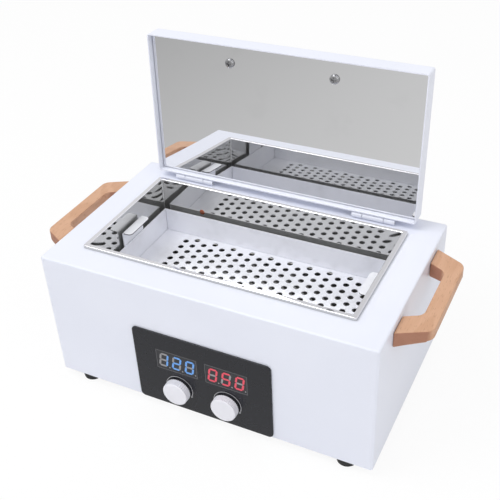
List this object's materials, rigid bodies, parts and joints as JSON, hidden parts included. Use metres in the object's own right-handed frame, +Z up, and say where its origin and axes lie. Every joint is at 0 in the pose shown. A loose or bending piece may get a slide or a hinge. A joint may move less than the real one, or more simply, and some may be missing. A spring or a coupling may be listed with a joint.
{
  "type": "dry heat sterilizer",
  "caption": "Bench-top dry heat sterilizer: white steel case, stainless tank with lift-out perforated tray, hinged lid standing open, wooden handles, display panel with knobs.",
  "frame": {"origin": "middle of the object's plan as it stands with its lid open, at the soles of the feet", "axes": "+X to the right of someone facing the front panel, +Y to the back, +Z up"},
  "size_m": [0.3774, 0.2326, 0.2919],
  "materials": {
    "white_paint": "glossy white powder coat",
    "mirror_steel": "mirror-polished stainless steel",
    "satin_steel": "satin stainless steel",
    "zinc_steel": "zinc-plated steel",
    "chrome": "bright chrome plate",
    "beech": "oiled beech, eased edges",
    "black_gloss": "glossy near-black panel film",
    "white_plastic": "moulded white plastic",
    "black_plastic": "moulded black plastic",
    "smoked_lens": "smoked display face",
    "foot_rubber": "matt black rubber",
    "mica": "mica laminate",
    "mineral_wool": "pressed mineral wool",
    "copper": "bare copper",
    "circuit_board": "green solder mask",
    "core_steel": "varnished core steel and winding",
    "cable_grey": "grey cable sheath"
  },
  "bodies": {
    "case": {"outer_case": "white_paint", "base_plate": "zinc_steel", "foot_front_left": "foot_rubber", "foot_front_right": "foot_rubber", "foot_rear_left": "foot_rubber", "foot_rear_right": "foot_rubber", "foot_screw_front_left": "zinc_steel", "foot_screw_front_right": "zinc_steel", "foot_screw_rear_left": "zinc_steel", "foot_screw_rear_right": "zinc_steel", "inner_tank": "mirror_steel", "heater_plate": "mica", "heater_clamp_plate": "zinc_steel", "insulation_jacket": "mineral_wool", "thermal_cutout": "black_plastic", "temperature_probe": "copper", "front_overlay": "black_gloss", "time_display": "smoked_lens", "temperature_display": "smoked_lens", "control_board": "circuit_board", "time_control": "zinc_steel", "temperature_control": "zinc_steel", "power_board": "circuit_board", "transformer": "core_steel", "relay": "black_plastic", "power_inlet": "black_plastic", "switch_housing": "black_plastic", "heater_cable": "cable_grey", "display_ribbon": "cable_grey", "switch_cable": "cable_grey", "mains_cable": "cable_grey", "side_handle_left": "beech", "side_handle_right": "beech", "side_handle_screw_left_front": "zinc_steel", "side_handle_screw_left_rear": "zinc_steel", "side_handle_screw_right_front": "zinc_steel", "side_handle_screw_right_rear": "zinc_steel", "hinge_case_leaf_left": "white_paint", "hinge_case_leaf_right": "white_paint", "hinge_pin_left": "zinc_steel", "hinge_pin_right": "zinc_steel"},
    "lid": {"lid_shell": "white_paint", "lid_liner": "mirror_steel", "lid_insulation": "mineral_wool", "lid_handle": "beech", "lid_screw_left": "chrome", "lid_screw_right": "chrome", "hinge_lid_leaf_left": "white_paint", "hinge_lid_leaf_right": "white_paint"},
    "tray": {"tray_frame": "satin_steel", "tray_floor": "satin_steel", "tray_handle_left": "satin_steel", "tray_handle_right": "satin_steel"},
    "time_dial": {"time_knob": "white_plastic", "time_shaft": "satin_steel"},
    "temperature_dial": {"temperature_knob": "white_plastic", "temperature_shaft": "satin_steel"},
    "rocker": {"power_rocker": "black_plastic"}
  },
  "joints": [
    {"name": "lid_hinge", "type": "hinge", "parent": "case", "child": "lid", "pos_m": [0, 0.06593, 0.14555], "axis": [-1, 0, 0], "range_deg": [-92, 0]},
    {"name": "tray_lift", "type": "slide", "parent": "case", "child": "tray", "axis": [0, 0, 1], "range_m": [0, 0.1]},
    {"name": "time_turn", "type": "hinge", "parent": "case", "child": "time_dial", "pos_m": [-0.0245, -0.1115, 0.0342], "axis": [0, 1, 0], "range_deg": [-280, 0]},
    {"name": "temperature_turn", "type": "hinge", "parent": "case", "child": "temperature_dial", "pos_m": [0.0245, -0.1115, 0.0342], "axis": [0, 1, 0], "range_deg": [-64, 216]},
    {"name": "rocker_tilt", "type": "hinge", "parent": "case", "child": "rocker", "pos_m": [-0.072, 0.08383, 0.042], "axis": [1, 0, 0], "range_deg": [-18, 0]}
  ]
}
